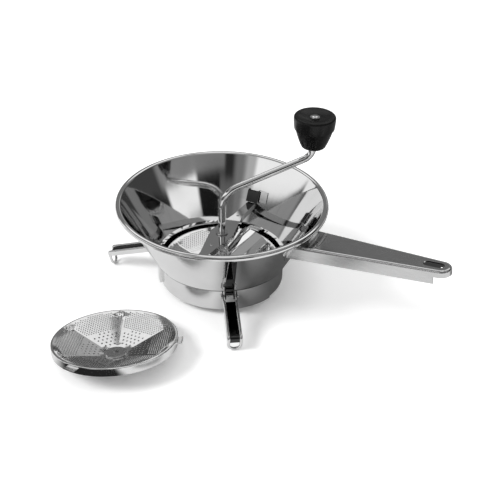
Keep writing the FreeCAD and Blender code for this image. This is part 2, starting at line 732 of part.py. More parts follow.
def make_blade():
    slope = math.atan2(DISC_FLOOR_DEPTH, DISC_DISH_EDGE - DISC_FLOOR_RADIUS)
    start = (-16.0, 0.0)
    shoulder = (-7.5, 0.64 * BLADE_RISE)
    lip = (13.0, BLADE_RISE)
    circle = Part.Arc(crosswise(*start), crosswise(*shoulder), crosswise(*lip)).toShape().Curve
    thin = 1 - BLADE_SHEET / circle.Radius
    middle = (circle.Center.y, circle.Center.z)

    def drawn_in(spot):
        return (middle[0] + (spot[0] - middle[0]) * thin, middle[1] + (spot[1] - middle[1]) * thin)

    section = face(start, (shoulder, lip), drawn_in(lip), (drawn_in(shoulder), drawn_in(start)), place=crosswise)
    wing = section.extrude(X_AXIS * (BLADE_REACH + BLADE_RISE))
    wing = wing.rotated(ORIGIN, Y_AXIS, -math.degrees(slope))
    wing.translate(Z_AXIS * (disc_surface(0.0) + BLADE_GAP))
    high = disc_surface(BLADE_REACH) + BLADE_RISE
    low = disc_surface(DISC_FLOOR_RADIUS) + BLADE_GAP
    shoulder_height = disc_surface(BLADE_REACH) + BLADE_GAP
    dome = turned(
        (0.0, low),
        (BLADE_REACH, low),
        (BLADE_REACH, shoulder_height),
        ((0.88 * BLADE_REACH, 0.35 * shoulder_height + 0.65 * high), (0.5 * BLADE_REACH, high)),
        (0.0, high),
    )
    over_disc = turned(
        (0.0, ROD_FOOT),
        (HUB_FLANGE_RADIUS + 1, ROD_FOOT),
        (BLADE_REACH, disc_surface(BLADE_REACH) + BLADE_GAP),
        (BLADE_REACH, high),
        (0.0, high),
    )
    wing = wing.common(dome).common(over_disc)
    hub = rod(BLADE_HUB_RADIUS, ROD_FOOT, BLADE_HUB_TOP)
    above_hub = rod(BLADE_HUB_RADIUS, BLADE_HUB_TOP, FAR)
    blade = hub.fuse(wing).fuse(at_azimuth(wing, 180.0)).cut(above_hub)
    blade = blade.cut(rod(ROD_RADIUS + FIXED_GAP, 0, FAR))
    blade = blade.cut(pin_along_y(BLADE_PIN_RADIUS + FIXED_GAP, 2 * BLADE_HUB_RADIUS, 0.0, BLADE_PIN_HEIGHT))
    return at_azimuth(blade.removeSplitter(), BLADE_AZIMUTH)


def make_blade_pin():
    return at_azimuth(pin_along_y(BLADE_PIN_RADIUS, BLADE_HUB_RADIUS + 1, 0.0, BLADE_PIN_HEIGHT), BLADE_AZIMUTH)


# Sieve disc, drawn with its rim's top at height 0

def perforations():
    """Round holes in rings, kept clear of the plain radial strips between the sectors."""
    punches = []
    sector = 360 / SECTORS
    for rings, radius in ((COARSE_RINGS, COARSE_HOLE_RADIUS), (FINE_RINGS, FINE_HOLE_RADIUS)):
        for ring_radius, count in rings.items():
            margin = math.degrees((DISC_STRIP_HALF_WIDTH + radius) / ring_radius)
            step = (sector - 2 * margin) / (count - 1)
            for k in range(SECTORS):
                for i in range(count):
                    angle = math.radians(DISC_STRIP_AT + k * sector + margin + i * step)
                    centre = (ring_radius * math.cos(angle), ring_radius * math.sin(angle))
                    punches.append(rod(radius, -2 * DISC_FLOOR_DEPTH, DISC_FLANGE, centre))
    return punches


def make_disc():
    wall = DISC_RADIUS - DISC_SHEET
    floor = -DISC_FLOOR_DEPTH
    disc = turned(
        (DISC_RADIUS, -DISC_FLANGE),
        (DISC_RADIUS, -1.2),
        ((DISC_RADIUS - 0.35, -0.35), (DISC_RADIUS - 1.2, 0.0)),
        (DISC_DISH_EDGE, 0.0),
        (DISC_FLOOR_RADIUS, floor),
        (HUB_NECK_RADIUS + FIXED_GAP, floor),
        (HUB_NECK_RADIUS + FIXED_GAP, floor - DISC_SHEET),
        (DISC_FLOOR_RADIUS, floor - DISC_SHEET),
        (DISC_DISH_EDGE, -DISC_SHEET),
        (wall, -DISC_SHEET - 0.4),
        (wall, -DISC_FLANGE),
    )
    lug_top = -0.4 * DISC_FLANGE
    for k in range(3):
        disc = disc.fuse(ring_sector(wall, DISC_LUG_REACH, lug_top - 1.5 * DISC_SHEET, lug_top,
                                     120.0 * k, DISC_LUG_WIDTH_DEG))
    return disc.cut(perforations()).removeSplitter()


def make_disc_hub():
    bore = ROD_TIP_RADIUS + RUNNING_GAP
    seat = -DISC_FLOOR_DEPTH + FIXED_GAP
    return turned(
        (bore, -HUB_BOTTOM_DEPTH),
        (HUB_NECK_RADIUS, -HUB_BOTTOM_DEPTH),
        (HUB_NECK_RADIUS, seat),
        (HUB_FLANGE_RADIUS, seat),
        (HUB_FLANGE_RADIUS, -HUB_TOP_DEPTH - 0.6),
        (HUB_FLANGE_RADIUS - 0.6, -HUB_TOP_DEPTH),
        (bore, -HUB_TOP_DEPTH),
    )


def fitted(shape):
    placed = at_azimuth(shape, DISC_AZIMUTH)
    placed.translate(Z_AXIS * DISC_RIM_HEIGHT)
    return placed


def lying_beside(shape):
    """On the table the disc leans: it stands on the edge of its floor and on one point of its flange."""
    floor_under = DISC_FLOOR_DEPTH + DISC_SHEET
    lean = math.atan2(floor_under - DISC_FLANGE, DISC_RADIUS - DISC_FLOOR_RADIUS)
    height = DISC_FLANGE * math.cos(lean) + DISC_RADIUS * math.sin(lean)
    placed = at_azimuth(shape, SPARE_AZIMUTH - SPARE_LEAN_AZIMUTH)
    placed.rotate(ORIGIN, Y_AXIS, math.degrees(lean))
    placed = at_azimuth(placed, SPARE_LEAN_AZIMUTH)
    placed.translate(FreeCAD.Vector(SPARE_CENTRE[0], SPARE_CENTRE[1], height))
    return placed


def make_all():
    disc = make_disc()
    hub = make_disc_hub()
    upper_seat = BAR_TOP - BAR_SHEET - 0.15
    lower_seat = BLADE_HUB_TOP + 0.1
    nodes = {
        "bowl_shell": make_bowl(),
        "handle": make_handle(),
        "handle_saddle": make_saddle(),
        "bar_strap_rear": make_bar_strap(BAR_AZIMUTH),
        "bar_strap_front": make_bar_strap(BAR_AZIMUTH - 180.0),
        "crossbar": at_azimuth(make_crossbar(), BAR_AZIMUTH - 90.0),
        "spring": make_spring(),
        "spring_seat_upper": ring(ROD_RADIUS + RUNNING_GAP, WASHER_RADIUS, upper_seat - WASHER_THICK, upper_seat),
        "spring_seat_lower": ring(ROD_RADIUS + FIXED_GAP, WASHER_RADIUS, lower_seat, lower_seat + WASHER_THICK),
        "crank_rod": make_crank_rod(),
        "shaft_clip": ring(ROD_RADIUS + FIXED_GAP, CLIP_RADIUS, BAR_TOP + 0.35, BAR_TOP + 1.6),
        "knob": make_knob(),
        "knob_washer": make_knob_washer(),
        "blade": make_blade(),
        "blade_pin": make_blade_pin(),
        "sieve_disc": fitted(disc),
        "sieve_hub": fitted(hub),
        "spare_disc": lying_beside(disc),
        "spare_hub": lying_beside(hub),
    }
    for name, azimuth in LEGS.items():
        nodes["leg_" + name] = make_leg(azimuth)
        nodes["leg_strap_" + name] = make_leg_strap(azimuth)
        nodes["leg_pin_" + name] = make_leg_pin(azimuth)
    return nodes


os.makedirs("parts", exist_ok=True)
for node, shape in make_all().items():
    solids = shape.Solids
    print(node, "valid" if shape.isValid() else "INVALID", len(solids), "solid", round(shape.Volume, 1), "mm3")
    solids[0].exportStep("parts/" + node + ".step")
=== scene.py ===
import json
import math

import bpy
from mathutils import Matrix, Vector
from mathutils.geometry import delaunay_2d_cdt


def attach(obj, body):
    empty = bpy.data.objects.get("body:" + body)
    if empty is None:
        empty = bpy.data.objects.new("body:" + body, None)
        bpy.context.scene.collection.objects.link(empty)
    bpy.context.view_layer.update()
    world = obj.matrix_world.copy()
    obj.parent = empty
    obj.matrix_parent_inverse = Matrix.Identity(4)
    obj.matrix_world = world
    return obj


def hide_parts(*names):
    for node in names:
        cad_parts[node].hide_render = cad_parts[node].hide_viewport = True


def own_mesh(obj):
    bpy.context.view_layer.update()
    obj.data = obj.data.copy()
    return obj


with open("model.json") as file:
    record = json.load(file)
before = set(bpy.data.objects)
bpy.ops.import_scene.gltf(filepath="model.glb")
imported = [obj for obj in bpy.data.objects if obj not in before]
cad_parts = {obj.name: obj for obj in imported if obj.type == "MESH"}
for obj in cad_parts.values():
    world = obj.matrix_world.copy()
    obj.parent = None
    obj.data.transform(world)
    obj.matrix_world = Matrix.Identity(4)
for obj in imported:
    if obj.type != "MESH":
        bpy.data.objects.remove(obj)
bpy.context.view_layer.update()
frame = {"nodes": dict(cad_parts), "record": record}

MM = 0.001

# The photograph's camera, in degrees and metres. The handle lies at azimuth 0
CAMERA_AZIMUTH = 30.0
CAMERA_ELEVATION = 33.0
CAMERA_DISTANCE = 1.162
CAMERA_TARGET = (28.3 * MM, 16.35 * MM, 42.1 * MM)
CAMERA_ROLL = 1.37
CAMERA_LENS = 72.0
CAMERA_SENSOR = 36.0
CAMERA_CLIP = 50.0

# Sizes of the solids that the finer pieces repeat, in millimetres and degrees
DISC_RADIUS = 67.0
DISC_SHEET = 0.8
DISC_FLANGE = 8.8
DISC_DISH_EDGE = 64.6
DISC_FLOOR_RADIUS = 13.0
DISC_FLOOR_DEPTH = 18.3
DISC_LUGS = 3
DISC_LUG_REACH = 72.2
DISC_LUG_WIDTH = 12.0
HUB_NECK_RADIUS = 7.0
DISC_AZIMUTH = -28.0
DISC_RIM_HEIGHT = 32.8
SPARE_CENTRE = (-22.0, -177.8)
SPARE_AZIMUTH = 28.0
SPARE_LEAN_AZIMUTH = 139.0
SECTORS = 6
STRIP_AT = 30.0
SPRING_RADIUS = 6.5
SPRING_TURNS = 6
SPRING_BOTTOM = 36.15
SPRING_TOP = 62.1
WIRE_RADIUS = 0.8
LEGS = {"front": -52.0, "left": 197.0, "rear": 72.5}
LEG_PIN_RADIUS_AT = 82.0
LEG_PIN_HEIGHT = 34.0
LEG_DROOP = 17.0

# Perforations of the discs: small holes in the outer field of each sector, larger ones near the hub
FINE_HOLE = 0.8
FINE_PITCH = 2.7
FINE_FIELD = (38.0, 63.0)
FINE_STRIP = 1.0
COARSE_HOLE = 1.0
COARSE_PITCH = 5.0
COARSE_FIELD = (17.5, 36.2)
COARSE_STRIP = 0.8

# Over these lengths from the hub's floor and from the rim the discs' sectors go from round to flat
FLAT_FROM_HUB = 7.0
FLAT_FROM_RIM = 9.0

# The creases between the sectors stop this far from the floor's edge and from the rim
CREASE_ENDS = (1.0, 0.8)

# Edges of the discs' flange and lugs
FLANGE_ROUND = 1.2
FLANGE_SLOPE = 0.4
LUG_LEVEL = 0.4
LUG_SHEETS = 1.5
LUG_BEVEL = (0.5, 0.4)

# How finely round forms are divided, how near two points of the discs' plan are one, and the angle in degrees
# from which an edge is sharp
DISC_CORNERS = 180
FLOOR_CORNERS = 72
HUB_CORNERS = 48
FINE_CORNERS = 8
COARSE_CORNERS = 12
CREASE_STEPS = 18
FLANGE_STEPS = 6
LUG_STEPS = 10
ARC_STEPS = 8
LOOP_STEPS = 24
TURN_STEPS = 48
WIRE_SIDES = 14
RAIL_SIDES = 20
PLAN_TOLERANCE = 1e-6
SHARP_ANGLE = 35.0
DISC_SHARP_ANGLE = 12.0

# Legs: rail, cheeks at the hinge and sunk web, in millimetres from the pin
RAIL_RADIUS = 1.6
RAIL_AT = 6.6
RAIL_LEVEL = 1.6
RAIL_START = 8.0
LEG_BEND_AT = 56.0
LEG_BEND = 2.4
LOOP_MIDDLE = -9.5
CHEEK = (7.0, 8.2)
CHEEK_ROUND = 4.0
CHEEK_END = 57.0
CHEEK_DEPTH = 3.5
CHEEK_HEAD = [(6.5, 3.5), (-5.2, 3.5)]
WEB_START = 9.0
WEB_BEND_AT = (54.6, -2.4)
WEB_BEND = 3.6
WEB_SHEET = 1.0
WEB_FOOT = -6.0

# Steels: tone, its spread, roughness from and to, grain, stretch of the grain, and bump
STEELS = {
    "mirror": (0.78, 0.02, 0.03, 0.07, 30.0, (1, 1, 1), 0.01),
    "bowl": (0.78, 0.02, 0.03, 0.07, 30.0, (1, 1, 1), 0.01),
    "strap": (0.70, 0.03, 0.06, 0.12, 60.0, (1, 1, 1), 0.01),
    "handle": (0.62, 0.03, 0.12, 0.18, 90.0, (1, 8, 8), 0.02),
    # painted black reflection: near-black steel on the leg straps and the legs' webs stands in for the black
    # surroundings that they reflect
    "painted_reflection": (0.05, 0.01, 0.05, 0.10, 60.0, (1, 1, 1), 0.01),
    "sieve": (0.76, 0.03, 0.09, 0.14, 200.0, (1, 1, 1), 0.02),
    "hardware": (0.60, 0.04, 0.18, 0.28, 150.0, (1, 1, 1), 0.04),
    "wire": (0.62, 0.03, 0.15, 0.25, 300.0, (1, 1, 1), 0.03),
}
STEEL_BUMP_DEPTH = 0.2

# The grain of a steel's roughness and bump, as shares of its tone's grain, and what all grains have in common
STEEL_ROUGH_GRAIN = 0.7
STEEL_BUMP_GRAIN = 1.6
NOISE_VALUES = (0.3, 0.7)
NOISE_DETAIL = 4.0

# The knob's plastic
PLASTIC_TONE = 0.003
PLASTIC_ROUGHNESS = 0.30
PLASTIC_SHINE = 0.3
PLASTIC_SPREAD = 0.2
PLASTIC_TONE_GRAIN = 900.0
PLASTIC_ROUGH_GRAIN = 600.0
PLASTIC_BUMP_GRAIN = 1800.0
PLASTIC_BUMP = 0.15
PLASTIC_BUMP_DEPTH = 0.1

# Painted shade and painted black reflections, as shares of a steel's tone: painted shade inside the handle, a
# painted black reflection on the bridges of the straps on the bowl's wall, and painted shade in the creases of
# the bowl, each with its height and width. The wall's radius is given at height 0
PAINTED_DARK_TONE = 0.08
CHANNEL_WALL = 2.0
FACING_DOWN = -0.5
WALL_RADIUS = 55.3
WALL_SLOPE = 0.54
BRIDGE_RAISED = 2.6
CREASE_SHADE_TONE = 0.25
CREASE_SOFT = 1.2
BOWL_CREASES = ((36.2, 2.2), (101.6, 2.0))

# Materials by slot, and by node where a node has its own
SLOT_MATERIALS = {
    "polished_steel": "mirror",
    "satin_steel": "handle",
    "hardware_steel": "hardware",
    "spring_steel": "wire",
    "black_plastic": "black_plastic",
}
NODE_MATERIALS = {
    "bowl_shell": "bowl",
    "bar_strap_front": "strap",
    "bar_strap_rear": "strap",
    # The leg straps are near-black steel: a painted black reflection
    "leg_strap_front": "painted_reflection",
    "leg_strap_left": "painted_reflection",
    "leg_strap_rear": "painted_reflection",
}

# Stage: a pale floor, a soft lamp on the camera's left and a studio that only reflections see. Lengths are in
# millimetres, apart from the floor's reach in metres
SKY_STRENGTH = 0.55
LAMP_STRENGTH = 2.2
LAMP_TURN = -70.0
LAMP_ELEVATION = 42.0
LAMP_SOFTNESS = 25.0
FLOOR_REACH = 6.0
FLOOR_DROP = 0.2
FLOOR_TONE = 0.92
FLOOR_ROUGHNESS = 0.9
FLOOR_GLOW = 0.45
GLOW_REACH = 60.0

# Painted shadow on the floor in patches that only reflections see: limits to the camera's right, limits towards
# it, and tone
FLOOR_SHADE_SOFT = 44.0
FLOOR_SHADE_PATCHES = (
    (4, 900, -900, 118, 0.32),
    (4, 40, 180, 330, 0.32),
    (-700, -62, 180, 600, 0.02),
)

# Studio panels, seen by reflections alone. Turn is counted from the camera's side, positive to its right, and
# away is the turn without its sign. Rise is the elevation over the curve of directions that the bowl's inside
# wall shows. Each line gives an angle with its limits and softness, a height with its limits and softness, and
# a brightness
STUDIO_BASE = 0.08
RISE_LEVEL = 11.0
RISE_SWING = 16.5
STUDIO = (
    ("away", -1, 181, 6, "elevation", 40, 76, 6, 0.45),
    ("turn", -2, 100, 6, "rise", 3.2, 18, 0.8, 0.30),
    ("turn", 86, 150, 8, "rise", -40, 18, 3, 0.07),
    ("turn", 34, 50, 5, "rise", -20, 1.0, 1.0, 0.40),
    ("turn", 50, 86, 8, "rise", -20, 1.2, 1.0, 0.05),
    ("turn", 36, 80, 6, "rise", 0.8, 3.3, 0.8, 1.3),
    ("turn", 82, 99, 5, "rise", 0.4, 2.7, 0.8, 0.012),
    ("turn", 5, 34, 3, "rise", -20, 2.6, 0.5, 0.010),
    ("turn", -14, 5, 5, "rise", -20, 2.2, 1.0, 0.16),
    ("turn", -14, -2, 5, "rise", 2.2, 18, 1.0, 0.03),
    ("turn", -27, -14, 9, "rise", -20, 18, 4, 0.24),
    ("turn", -42, -27, 9, "rise", -20, 18, 4, 0.60),
    ("turn", -128, -40, 6, "rise", 1.6, 18, 0.9, 1.3),
    ("turn", -110, -48, 8, "rise", -20, 1.5, 0.9, 0.11),
    ("turn", -124, -110, 4, "rise", -20, 18, 2, 1.2),
    ("turn", -150, -124, 4, "rise", -40, 18, 3, 0.03),
    ("away", 140, 181, 6, "elevation", -20, 10, 4, 0.09),
    ("away", 118, 181, 6, "elevation", 10, 36, 4, 0.24),
    ("turn", 150, 178, 3, "elevation", 12, 22, 4, 0.60),
    ("away", 118, 181, 6, "elevation", 37, 91, 4, 1.3),
    ("away", 166, 181, 5, "elevation", 24, 47, 4, 0.24),
    ("away", 100, 181, 4, "elevation", 71, 76, 3, 0.02),
    ("away", -1, 181, 4, "elevation", 78, 91, 3, 1.4),
)


def add_camera():
    azimuth = math.radians(CAMERA_AZIMUTH)
    elevation = math.radians(CAMERA_ELEVATION)
    roll = math.radians(CAMERA_ROLL)
    back = Vector((
        math.sin(azimuth) * math.cos(elevation),
        -math.cos(azimuth) * math.cos(elevation),
        math.sin(elevation),
    ))
    right = Vector((math.cos(azimuth), math.sin(azimuth), 0.0))
    up = back.cross(right)
    rolled_right = right * math.cos(roll) + up * math.sin(roll)
    rolled_up = up * math.cos(roll) - right * math.sin(roll)
    camera = bpy.data.objects.new("photo_camera", bpy.data.cameras.new("photo_camera"))
    camera.data.lens = CAMERA_LENS
    camera.data.sensor_width = CAMERA_SENSOR
    camera.data.clip_end = CAMERA_CLIP
    placing = Matrix((rolled_right, rolled_up, back)).transposed().to_4x4()
    placing.translation = Vector(CAMERA_TARGET) + back * CAMERA_DISTANCE
    camera.matrix_world = placing
    bpy.context.scene.collection.objects.link(camera)
    bpy.context.scene.camera = camera


# Node helpers

def new_material(name):
    material = bpy.data.materials.new(name)
    material.use_nodes = True
    return material, material.node_tree.nodes, material.node_tree.links


def noise_range(nodes, links, scale, low, high, stretch=(1, 1, 1)):
    """A noise in object space whose values run from low to high."""
    place = nodes.new("ShaderNodeTexCoord")
    mapping = nodes.new("ShaderNodeMapping")
    mapping.inputs["Scale"].default_value = stretch
    noise = nodes.new("ShaderNodeTexNoise")
    noise.inputs["Scale"].default_value = scale
    noise.inputs["Detail"].default_value = NOISE_DETAIL
    spread = nodes.new("ShaderNodeMapRange")
    spread.inputs["From Min"].default_value = NOISE_VALUES[0]
    spread.inputs["From Max"].default_value = NOISE_VALUES[1]
    spread.inputs["To Min"].default_value = low
    spread.inputs["To Max"].default_value = high
    links.new(place.outputs["Object"], mapping.inputs["Vector"])
    links.new(mapping.outputs["Vector"], noise.inputs["Vector"])
    links.new(noise.outputs["Fac"], spread.inputs["Value"])
    return spread.outputs["Result"]


def math_node(nodes, links, operation, *values):
    node = nodes.new("ShaderNodeMath")
    node.operation = operation
    for socket, value in zip(node.inputs, values):
        if isinstance(value, (int, float)):
            socket.default_value = value
        else:
            links.new(value, socket)
    return node.outputs[0]


def soft_step(nodes, links, value, edge, soft):
    step = nodes.new("ShaderNodeMapRange")
    step.interpolation_type = "SMOOTHSTEP"
    step.inputs["From Min"].default_value = edge - soft / 2
    step.inputs["From Max"].default_value = edge + soft / 2
    links.new(value, step.inputs["Value"])
    return step.outputs["Result"]


def soft_window(nodes, links, value, low, high, soft):
    above = soft_step(nodes, links, value, low, soft)
    beyond = soft_step(nodes, links, value, high, soft)
    return math_node(nodes, links, "SUBTRACT", above, beyond)


def blended(nodes, links, base, value, mask):
    """The base where the mask is 0 and the value where it is 1."""
    gain = math_node(nodes, links, "SUBTRACT", value, base)
    return math_node(nodes, links, "MULTIPLY_ADD", gain, mask, base)


def spot_and_facing(nodes, links):
    """Place and direction of the surface in object space, each split into X, Y and Z."""
    place = nodes.new("ShaderNodeTexCoord")
    spot = nodes.new("ShaderNodeSeparateXYZ")
    facing = nodes.new("ShaderNodeSeparateXYZ")
    links.new(place.outputs["Object"], spot.inputs["Vector"])
    links.new(place.outputs["Normal"], facing.inputs["Vector"])
    return spot.outputs, facing.outputs


def camera_parts(nodes, links, coordinate):
    """A coordinate split into X, Y and Z, turned so that X goes to the camera's right and Y away from it."""
    place = nodes.new("ShaderNodeTexCoord")
    turned = nodes.new("ShaderNodeVectorRotate")
    turned.rotation_type = "Z_AXIS"
    turned.inputs["Angle"].default_value = -math.radians(CAMERA_AZIMUTH)
    parts = nodes.new("ShaderNodeSeparateXYZ")
    links.new(place.outputs[coordinate], turned.inputs["Vector"])
    links.new(turned.outputs["Vector"], parts.inputs["Vector"])
    return parts.outputs


def set_grey(nodes, links, shader, shade):
    tint = nodes.new("ShaderNodeCombineColor")
    for channel in ("Red", "Green", "Blue"):
        links.new(shade, tint.inputs[channel])
    links.new(tint.outputs["Color"], shader.inputs["Base Color"])


def set_bump(nodes, links, shader, height, strength, depth):
    relief = nodes.new("ShaderNodeBump")
    relief.inputs["Strength"].default_value = strength
    relief.inputs["Distance"].default_value = depth * MM
    links.new(height, relief.inputs["Height"])
    links.new(relief.outputs["Normal"], shader.inputs["Normal"])


# Materials

def channel_painted_shade(nodes, links):
    """Painted shade on the inner faces of a channel that lies along X and opens downwards."""
    spot, facing = spot_and_facing(nodes, links)
    towards_middle = math_node(nodes, links, "MULTIPLY", spot["Y"], facing["Y"])
    inner_wall = math_node(nodes, links, "LESS_THAN", towards_middle, -CHANNEL_WALL * MM)
    under = math_node(nodes, links, "LESS_THAN", facing["Z"], FACING_DOWN)
    inside = math_node(nodes, links, "MAXIMUM", inner_wall, under)
    return math_node(nodes, links, "MULTIPLY_ADD", inside, PAINTED_DARK_TONE - 1.0, 1.0)


def crease_painted_shade(nodes, links):
    """Painted shade in the creases of the bowl's outside."""
    spot, facing = spot_and_facing(nodes, links)
    across = math_node(nodes, links, "MULTIPLY", spot["X"], facing["X"])
    outward = math_node(nodes, links, "MULTIPLY_ADD", spot["Y"], facing["Y"], across)
    outside = math_node(nodes, links, "GREATER_THAN", outward, 0.0)
    creased = 0.0
    for height, width in BOWL_CREASES:
        low = (height - width / 2) * MM
        high = (height + width / 2) * MM
        band = soft_window(nodes, links, spot["Z"], low, high, CREASE_SOFT * MM)
        creased = math_node(nodes, links, "ADD", band, creased)
    creased = math_node(nodes, links, "MULTIPLY", creased, outside)
    return math_node(nodes, links, "MULTIPLY_ADD", creased, CREASE_SHADE_TONE - 1.0, 1.0)


def bridge_painted_reflection(nodes, links):
    """Painted black reflection on the raised bridge of a strap that lies on the bowl's inside wall."""
    spot, _ = spot_and_facing(nodes, links)
    squared = math_node(nodes, links, "MULTIPLY", spot["X"], spot["X"])
    squared = math_node(nodes, links, "MULTIPLY_ADD", spot["Y"], spot["Y"], squared)
    radius = math_node(nodes, links, "SQRT", squared)
    wall = math_node(nodes, links, "MULTIPLY_ADD", spot["Z"], WALL_SLOPE, WALL_RADIUS * MM)
    raised = math_node(nodes, links, "SUBTRACT", wall, radius)
    bridge = math_node(nodes, links, "GREATER_THAN", raised, BRIDGE_RAISED * MM)
    return math_node(nodes, links, "MULTIPLY_ADD", bridge, PAINTED_DARK_TONE - 1.0, 1.0)


def steel(name, tone, tone_spread, rough_low, rough_high, grain, stretch, bump, painted_darkening=None):
    """Stainless steel: its grain varies tone, roughness and bump, and some places take painted shade and
    painted black reflections.
    """
    material, nodes, links = new_material(name)
    shader = nodes["Principled BSDF"]
    shader.inputs["Metallic"].default_value = 1.0
    shade = noise_range(nodes, links, grain, tone - tone_spread, tone + tone_spread, stretch)
    if painted_darkening:
        shade = math_node(nodes, links, "MULTIPLY", shade, painted_darkening(nodes, links))
    set_grey(nodes, links, shader, shade)
    rough = noise_range(nodes, links, STEEL_ROUGH_GRAIN * grain, rough_low, rough_high, stretch)
    links.new(rough, shader.inputs["Roughness"])
    height = noise_range(nodes, links, STEEL_BUMP_GRAIN * grain, 0.0, 1.0, stretch)
    set_bump(nodes, links, shader, height, bump, STEEL_BUMP_DEPTH)
    return material


def plastic(name):
    """Black plastic with a fine grain."""
    material, nodes, links = new_material(name)
    shader = nodes["Principled BSDF"]
    shader.inputs["Specular IOR Level"].default_value = PLASTIC_SHINE
    low = 1.0 - PLASTIC_SPREAD
    high = 1.0 + PLASTIC_SPREAD
    shade = noise_range(nodes, links, PLASTIC_TONE_GRAIN, low * PLASTIC_TONE, high * PLASTIC_TONE)
    set_grey(nodes, links, shader, shade)
    rough = noise_range(nodes, links, PLASTIC_ROUGH_GRAIN, low * PLASTIC_ROUGHNESS, high * PLASTIC_ROUGHNESS)
    links.new(rough, shader.inputs["Roughness"])
    height = noise_range(nodes, links, PLASTIC_BUMP_GRAIN, 0.0, 1.0)
    set_bump(nodes, links, shader, height, PLASTIC_BUMP, PLASTIC_BUMP_DEPTH)
    return material


# Painted shade in the bowl's creases and inside the handle, and a painted black reflection on the straps'
# bridges
PAINTED_DARKENING = {"bowl": crease_painted_shade, "strap": bridge_painted_reflection, "handle": channel_painted_shade}
MATERIALS = {key: steel(key + "_steel", *values, PAINTED_DARKENING.get(key)) for key, values in STEELS.items()}
MATERIALS["black_plastic"] = plastic("black_plastic")


def dress_nodes():
    slots = {entry["node"]: entry["material_slot"] for entry in frame["record"]["subparts"]}
    for name, node in frame["nodes"].items():
        node.data.materials.clear()
        node.data.materials.append(MATERIALS[NODE_MATERIALS.get(name, SLOT_MATERIALS[slots[name]])])


# Mesh helpers: a shape is a list of points in millimetres and a list of faces

def joined(*shapes):
    points = []
    faces = []
    for shape_points, shape_faces in shapes:
        first = len(points)
        points += shape_points
        faces += [[first + i for i in face] for face in shape_faces]
    return points, faces


def placed(shape, matrix):
    return [matrix @ Vector(point) for point in shape[0]], shape[1]


def about_z(degrees):
    return Matrix.Rotation(math.radians(degrees), 4, "Z")


def add_piece(name, shape, material, body, replaced=(), sharp=SHARP_ANGLE):
    mesh = bpy.data.meshes.new(name)
    mesh.from_pydata([Vector(point) * MM for point in shape[0]], [], shape[1])
    mesh.materials.append(MATERIALS[material])
    mesh.polygons.foreach_set("use_smooth", [True] * len(mesh.polygons))
    mesh.set_sharp_from_angle(angle=math.radians(sharp))
    mesh.update()
    piece = bpy.data.objects.new(name, mesh)
    bpy.context.scene.collection.objects.link(piece)
    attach(piece, body)
    if replaced:
        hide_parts(*replaced)
    return piece


def circle(radius, count, centre=(0.0, 0.0)):
    turns = [2 * math.pi * i / count for i in range(count)]
    return [(centre[0] + radius * math.cos(t), centre[1] + radius * math.sin(t)) for t in turns]


def arc(centre, radius, start, end, steps):
    """Points of an arc between two angles in degrees."""
    turns = [math.radians(start + (end - start) * i / steps) for i in range(steps + 1)]
    return [(centre[0] + radius * math.cos(t), centre[1] + radius * math.sin(t)) for t in turns]


def spun(profile, count, start=0.0, end=360.0):
    """A closed outline of (radius, height) points turned about Z, anticlockwise outlines facing out."""
    whole = end - start >= 360.0
    stations = count if whole else count + 1
    points = []
    for k in range(stations):
        angle = math.radians(start + (end - start) * k / count)
        points += [(r * math.cos(angle), r * math.sin(angle), z) for r, z in profile]
    size = len(profile)
    faces = []
    for k in range(count):
        here = k * size
        there = (k + 1) % stations * size
        for i in range(size):
            j = (i + 1) % size
            faces.append([here + i, there + i, there + j, here + j])
    if not whole:
        faces.append(list(range(size)))
        faces.append(list(range((stations - 1) * size, stations * size))[::-1])
    return points, faces


def prism(outline, low, high):
    """A prism along Y over an outline of (x, z) points that runs clockwise with X to the right and Z up."""
    size = len(outline)
    points = [(x, y, z) for y in (low, high) for x, z in outline]
    faces = [list(range(size))[::-1], list(range(size, 2 * size))]
    for i in range(size):
        j = (i + 1) % size
        faces.append([i, j, size + j, size + i])
    return points, faces


def tube(path, radius, sides):
    """A round tube along a list of points, with its section carried along without twist."""
    path = [Vector(point) for point in path]
    ways = []
    for i in range(len(path)):
        ahead = path[min(i + 1, len(path) - 1)]
        behind = path[max(i - 1, 0)]
        ways.append((ahead - behind).normalized())
    side = ways[0].orthogonal().normalized()
    points = []
    for spot, way in zip(path, ways):
        side = (side - way * side.dot(way)).normalized()
        other = way.cross(side)
        for k in range(sides):
            turn = 2 * math.pi * k / sides
            points.append(spot + (side * math.cos(turn) + other * math.sin(turn)) * radius)
    faces = []
    for i in range(len(path) - 1):
        here = i * sides
        there = here + sides
        for k in range(sides):
            j = (k + 1) % sides
            faces.append([here + k, here + j, there + j, there + k])
    last = (len(path) - 1) * sides
    faces.append(list(range(sides))[::-1])
    faces.append(list(range(last, last + sides)))
    return points, faces


# Sieve discs, drawn with the rim's top at height 0

def field_holes(hole, pitch, field, strip, corners):
    """Holes on a staggered grid in each sector, its rows square to the sector's middle line."""
    low, high = field
    row_step = pitch * math.sqrt(0.75)
    half_sector = math.pi / SECTORS
    holes = []
    for k in range(SECTORS):
        middle = math.radians(STRIP_AT + 180.0 / SECTORS + 360.0 / SECTORS * k)
        along = Vector((math.cos(middle), math.sin(middle)))
        beside = Vector((-along.y, along.x))
        rows = int((high - low) / row_step) + 1
        for i in range(rows):
            distance = low + i * row_step
            reach = distance * math.tan(half_sector) - strip / math.cos(half_sector) - hole
            columns = int(reach / pitch) + 1
            for j in range(-columns, columns + 1):
                offset = (j + 0.5 * (i % 2)) * pitch
                spot = along * distance + beside * offset
                if abs(offset) <= reach and spot.length + hole <= high:
                    holes.append(circle(hole, corners, spot))
    return holes


